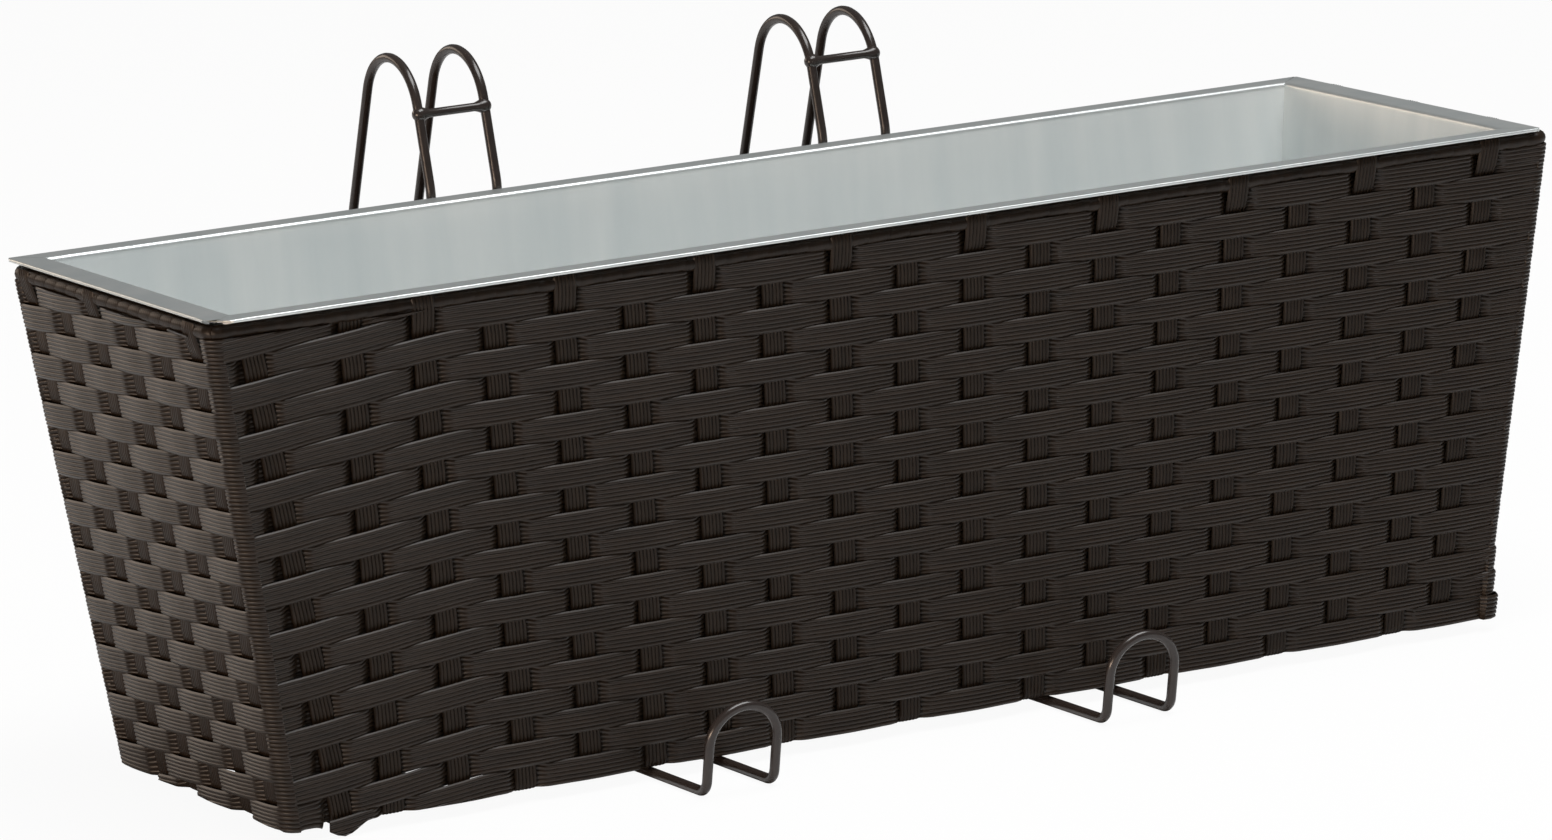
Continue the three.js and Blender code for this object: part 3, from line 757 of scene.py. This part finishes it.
def arm_path(side):
    """One arm in its own plane, as (y, z): back leg, arch, leg, arm under the box and toe."""
    arch_z = FLANGE_TOP_Z + ARCH_RISE[side]
    leg_top_z = arch_z + ARCH_RADIUS * math.sin(FRONT_LEAN)
    arch_y = front_leg_y(leg_top_z) + ARCH_RADIUS * math.cos(FRONT_LEAN)
    tangent_y = arch_y + ARCH_RADIUS * math.cos(BACK_LEAN)
    tangent_z = arch_z + ARCH_RADIUS * math.sin(BACK_LEAN)
    end_z = FLANGE_TOP_Z - BACK_LEG_DROP
    end_y = tangent_y + (tangent_z - end_z) * math.tan(BACK_LEAN)
    tip = [(lerp(end_y, tangent_y, t), lerp(end_z, tangent_z, t)) for t in (0, TIP_TAPER)]
    knee = Vector((LEG_Y, KNEE_Z))
    above = knee + Vector((math.sin(FRONT_LEAN), math.cos(FRONT_LEAN))) * KNEE_BEND
    below = Vector((LEG_Y, KNEE_Z - KNEE_BEND))
    bend = [above.lerp(knee, i / 4).lerp(knee.lerp(below, i / 4), i / 4) for i in range(5)]
    return [
        *tip,
        *arc((arch_y, arch_z), ARCH_RADIUS, BACK_LEAN, math.pi - FRONT_LEAN, 28),
        *bend,
        *arc((LEG_Y - HEEL_RADIUS, ARM_Z + HEEL_RADIUS), HEEL_RADIUS, 0, -math.pi / 2, 10),
        *arc((TOE_Y, ARM_Z + TOE_RADIUS), TOE_RADIUS, -math.pi / 2, -math.pi + TOE_LEAN, 9),
    ]


def hanger(side, material):
    """A wire bent to two arms that are joined by a bow over the toe, with a welded crossbar."""
    arm = [Vector((0, y, z)) for y, z in arm_path(side)]
    half = ARM_SPACING / 2
    upward = Vector((0, -math.sin(TOE_LEAN), math.cos(TOE_LEAN)))
    straight = (ARM_Z + TOE_HEIGHT - arm[-1].z) / upward.z - half
    centre = arm[-1] + upward * straight
    bow = []
    for i in range(25):
        angle = math.pi * (1 - i / 24)
        across = Vector((half * math.cos(angle), 0, 0))
        bow.append(centre + upward * (half * math.sin(angle)) + across)
    shift = Vector((half, 0, 0))
    path = [p - shift for p in arm] + bow + [p + shift for p in arm[::-1]]
    middle = Vector((HANGER_X[side], 0, 0))
    radii = [WIRE_RADIUS] * len(path)
    radii[0] = radii[-1] = WIRE_RADIUS * WIRE_TIP
    wire = Shape()
    wire.sweep(wire_sections([p + middle for p in path], radii))
    body = f"hanger_{side}"
    node = f"{body}_wire"
    make_piece(f"{body}_bent_wire", wire, material, body, "hanger_wire", node)
    bar_z = FLANGE_TOP_Z + CROSSBAR_RISE
    leg_y = front_leg_y(bar_z)
    weld = [(half + x, radius) for x, radius in WELD_BEAD]
    bar = Shape()
    bar.sweep([
        [middle + Vector((x, leg_y + y, bar_z + z)) for y, z in circle(radius, 16)]
        for x, radius in [(-x, radius) for x, radius in weld] + weld[::-1]
    ])
    node = f"{body}_crossbar"
    make_piece(f"{body}_welded_bar", bar, material, body, "hanger_wire", node)


# ---------------------------------------------------------------- steel frame


def frame_rod(wall, kind, material):
    """A round rod in the rim or in the folded strips' feet, half way round both its corners."""
    z, inset, bend = {
        "top": (TOP_ROD_Z, TOP_ROD_INSET, RIM_CORNER_RADIUS),
        "base": (BASE_ROD_Z, BASE_ROD_INSET, BASE_CORNER_RADIUS),
    }[kind]
    back = WALLS[WALLS.index(wall) - 1]
    turns = [math.radians(45 * i / 4) for i in range(5)]
    path = [back.corner_point(math.pi / 2 - t, z, -inset, bend) for t in turns[::-1]]
    path += [wall.corner_point(t, z, -inset, bend) for t in turns]
    shape = Shape()
    sections = []
    for i, point in enumerate(path):
        run = (path[min(i + 1, len(path) - 1)] - path[max(i - 1, 0)]).normalized()
        if i in (0, len(path) - 1):
            other = back if i == 0 else WALLS[(WALLS.index(wall) + 1) % 4]
            run = (wall.along + other.along).normalized()
        out = Vector((run.y, -run.x, 0))
        out = out if out.dot(wall.normal) > 0 else -out
        sections.append([point + out * x + Vector((0, 0, y)) for x, y in circle(ROD_RADIUS, 12)])
    shape.sweep(sections)
    name = f"{kind}_rod_{wall.name}"
    make_piece(f"round_{name}", shape, material, "basket", "frame_steel", name)


def coat_frame(material):
    """Coats the corner posts and base bars, which are shown as they were packed."""
    corners = [f"{side}_{end}" for side in ("back", "front") for end in ("left", "right")]
    posts = [f"corner_post_{corner}" for corner in corners]
    bars = [f"base_bar_{number}" for number in range(1, 6)]
    for name in posts + bars:
        materials = bpy.data.objects[name].data.materials
        materials.clear()
        materials.append(material)


# ---------------------------------------------------------------- materials

ZINC_BLOOM = 0.15  # how metallic the dull walls are
ZINC_SHEEN = 0.9  # and the flange
STRIP_DARK = (0.0107, 0.0060, 0.0028)
STRIP_LIGHT = (0.0193, 0.0113, 0.0060)


def link(tree, start, end):
    tree.links.new(start, end)


def plain_material(name, colour, roughness, metallic=0):
    material = bpy.data.materials.new(name)
    material.use_nodes = True
    shader = material.node_tree.nodes["Principled BSDF"]
    shader.inputs["Base Color"].default_value = (*colour, 1)
    shader.inputs["Roughness"].default_value = roughness
    shader.inputs["Metallic"].default_value = metallic
    return material, shader


def grain_group():
    """Soft streaks and flecks: shared by all materials, which stretch the vector they pass. The
    sockets 6 and 7 of a colour mix are its two colours, and its output 2 is the result."""
    group = bpy.data.node_groups.new("grain", "ShaderNodeTree")
    group.interface.new_socket("Vector", in_out="INPUT", socket_type="NodeSocketVector")
    group.interface.new_socket("Dark", in_out="INPUT", socket_type="NodeSocketColor")
    group.interface.new_socket("Light", in_out="INPUT", socket_type="NodeSocketColor")
    group.interface.new_socket("Color", in_out="OUTPUT", socket_type="NodeSocketColor")
    group.interface.new_socket("Height", in_out="OUTPUT", socket_type="NodeSocketFloat")
    nodes = group.nodes
    entry = nodes.new("NodeGroupInput")
    leave = nodes.new("NodeGroupOutput")
    coarse = nodes.new("ShaderNodeTexNoise")
    coarse.inputs["Scale"].default_value = 1
    coarse.inputs["Detail"].default_value = 4
    spread = nodes.new("ShaderNodeMapRange")
    spread.inputs["From Min"].default_value = 0.3
    spread.inputs["From Max"].default_value = 0.7
    mix = nodes.new("ShaderNodeMix")
    mix.data_type = "RGBA"
    link(group, entry.outputs["Vector"], coarse.inputs["Vector"])
    link(group, coarse.outputs["Fac"], spread.inputs["Value"])
    link(group, spread.outputs["Result"], mix.inputs["Factor"])
    link(group, entry.outputs["Dark"], mix.inputs[6])
    link(group, entry.outputs["Light"], mix.inputs[7])
    link(group, mix.outputs[2], leave.inputs["Color"])
    link(group, coarse.outputs["Fac"], leave.inputs["Height"])
    return group


def grained(name, dark, light, roughness, stretch, grain, metallic=0, bump=0.1):
    """A material with the shared grain, from one colour to another and in slight relief."""
    material, shader = plain_material(name, light, roughness, metallic)
    tree = material.node_tree
    place = tree.nodes.new("ShaderNodeTexCoord")
    mapping = tree.nodes.new("ShaderNodeMapping")
    mapping.inputs["Scale"].default_value = stretch
    node = tree.nodes.new("ShaderNodeGroup")
    node.node_tree = grain
    node.inputs["Dark"].default_value = (*dark, 1)
    node.inputs["Light"].default_value = (*light, 1)
    relief = tree.nodes.new("ShaderNodeBump")
    relief.inputs["Strength"].default_value = bump
    relief.inputs["Distance"].default_value = 0.0004
    link(tree, place.outputs["Object"], mapping.inputs["Vector"])
    link(tree, mapping.outputs["Vector"], node.inputs["Vector"])
    link(tree, node.outputs["Color"], shader.inputs["Base Color"])
    link(tree, node.outputs["Height"], relief.inputs["Height"])
    link(tree, relief.outputs["Normal"], shader.inputs["Normal"])
    return material, shader


def sheen_on_flange(material, shader):
    """The walls of the liner are dull with zinc bloom; its flange is rubbed to bare metal."""
    tree = material.node_tree
    place = tree.nodes.new("ShaderNodeTexCoord")
    split = tree.nodes.new("ShaderNodeSeparateXYZ")
    height = tree.nodes.new("ShaderNodeMapRange")
    height.inputs["From Min"].default_value = (FLANGE_TOP_Z - 2.5) * MM
    height.inputs["From Max"].default_value = (FLANGE_TOP_Z - 0.9) * MM
    height.inputs["To Min"].default_value = ZINC_BLOOM
    height.inputs["To Max"].default_value = ZINC_SHEEN
    link(tree, place.outputs["Object"], split.inputs["Vector"])
    link(tree, split.outputs["Z"], height.inputs["Value"])
    link(tree, height.outputs["Result"], shader.inputs["Metallic"])


def wicker(name, stretch, grain, gloss):
    """Dark brown plastic strip, with its grain drawn out along the strip."""
    material, shader = grained(name, STRIP_DARK, STRIP_LIGHT, 0.36, stretch, grain, bump=0.05)
    shader.inputs["Specular IOR Level"].default_value = gloss
    return material


# ---------------------------------------------------------------- studio

FLOOR_GAP = 0.0002  # metres between the lowest wire and the floor
FLOOR_GLOW = 0.94  # share of plain white in what the camera sees of the floor
WORLD_LEVEL = 0.16
LIGHTS_TARGET = Vector((0, 0, 0.1))


def studio_floor():
    """A pale floor that reads as white for the camera and keeps a soft shadow."""
    mesh = bpy.data.meshes.new("studio_floor")
    half = 6
    floor_z = (ARM_Z - WIRE_SLOT) * MM - FLOOR_GAP
    corners = [(x * half, y * half, floor_z) for x, y in ((-1, -1), (1, -1), (1, 1), (-1, 1))]
    mesh.from_pydata(corners, [], [(0, 1, 2, 3)])
    floor = bpy.data.objects.new("studio_floor", mesh)
    bpy.context.scene.collection.objects.link(floor)
    material, shader = plain_material("floor_white", (0.85, 0.85, 0.85), 0.9)
    tree = material.node_tree
    glow = tree.nodes.new("ShaderNodeEmission")
    path = tree.nodes.new("ShaderNodeLightPath")
    scale = tree.nodes.new("ShaderNodeMath")
    scale.operation = "MULTIPLY"
    scale.inputs[1].default_value = FLOOR_GLOW
    mix = tree.nodes.new("ShaderNodeMixShader")
    link(tree, path.outputs["Is Camera Ray"], scale.inputs[0])
    link(tree, scale.outputs[0], mix.inputs[0])
    link(tree, shader.outputs[0], mix.inputs[1])
    link(tree, glow.outputs[0], mix.inputs[2])
    link(tree, mix.outputs[0], tree.nodes["Material Output"].inputs[0])
    mesh.materials.append(material)


def area_light(name, place, size, power, colour=(1, 1, 1)):
    """A rectangular light, turned to the middle of the box."""
    data = bpy.data.lights.new(name, "AREA")
    data.shape = "RECTANGLE"
    data.size, data.size_y = size
    data.energy = power
    data.color = colour
    lamp = bpy.data.objects.new(name, data)
    bpy.context.scene.collection.objects.link(lamp)
    lamp.location = place
    lamp.rotation_euler = (LIGHTS_TARGET - Vector(place)).to_track_quat("-Z", "Y").to_euler()


def studio_world():
    """Even, weak light from all round, behind which the camera sees plain white."""
    world = bpy.data.worlds.new("studio")
    world.use_nodes = True
    tree = world.node_tree
    background = tree.nodes["Background"]
    path = tree.nodes.new("ShaderNodeLightPath")
    level = tree.nodes.new("ShaderNodeMapRange")
    level.inputs["To Min"].default_value = WORLD_LEVEL
    level.inputs["To Max"].default_value = 1
    link(tree, path.outputs["Is Camera Ray"], level.inputs["Value"])
    background.inputs["Color"].default_value = (1, 1, 1, 1)
    link(tree, level.outputs["Result"], background.inputs["Strength"])
    bpy.context.scene.world = world
    bpy.context.scene.view_settings.view_transform = "Standard"


def studio_camera():
    """The photograph's camera, as it was worked out from the corners of the flange and base."""
    data = bpy.data.cameras.new("photo_camera")
    data.sensor_width = 36
    data.lens = CAMERA_LENS
    data.clip_end = 50
    camera = bpy.data.objects.new("photo_camera", data)
    bpy.context.scene.collection.objects.link(camera)
    forward = Vector(CAMERA_FORWARD).normalized()
    level_right = forward.cross(Vector((0, 0, 1))).normalized()
    level_up = level_right.cross(forward)
    right = level_right * math.cos(CAMERA_ROLL) - level_up * math.sin(CAMERA_ROLL)
    back = -forward
    up = back.cross(right)
    turn = Matrix((right, up, back)).transposed()
    camera.matrix_world = Matrix.Translation(Vector(CAMERA_PLACE) * MM) @ turn.to_4x4()
    bpy.context.scene.camera = camera


# ---------------------------------------------------------------- scene

grain = grain_group()
level_strip = wicker("level_strip", (45, 45, 500), grain, 0.38)
upright_strip = wicker("upright_strip", (500, 500, 40), grain, 0.2)
wound_strip = wicker("wound_strip", (300, 300, 90), grain, 0.25)
zinc, zinc_shader = grained(
    "zinc", (0.64, 0.685, 0.685), (0.73, 0.76, 0.75), 0.42, (60, 60, 6), grain, ZINC_BLOOM, bump=0.05
)
sheen_on_flange(zinc, zinc_shader)
coated_wire, _ = grained(
    "coated_wire", (0.022, 0.0165, 0.0145), (0.030, 0.023, 0.020), 0.22, (120, 120, 120), grain
)
frame_coat, _ = plain_material("frame_coat", (0.022, 0.02, 0.018), 0.55)

for wall in WALLS:
    wall_stakes(wall, upright_strip)
    rim_binding(wall, wound_strip)
    frame_rod(wall, "top", frame_coat)
    frame_rod(wall, "base", frame_coat)
for index in range(ROW_COUNT + ROUND_DROP):
    weave_course(index, level_strip)
trough(zinc)
end_plate(-1, zinc)
end_plate(1, zinc)
hanger("left", coated_wire)
hanger("right", coated_wire)
coat_frame(frame_coat)

studio_floor()
studio_world()
studio_camera()
# Soft panels, all turned to the box: place and size in metres, power in watts, colour.
area_light("key_left_behind", (-1.1, 2.1, 0.7), (1.4, 0.8), 8, (1, 0.82, 0.67))
area_light("fill_left", (-2.6, -0.8, 0.14), (1.6, 0.4), 34, (1, 0.74, 0.55))
area_light("top_soft", (0.3, -0.7, 2.4), (2.2, 1.2), 67)
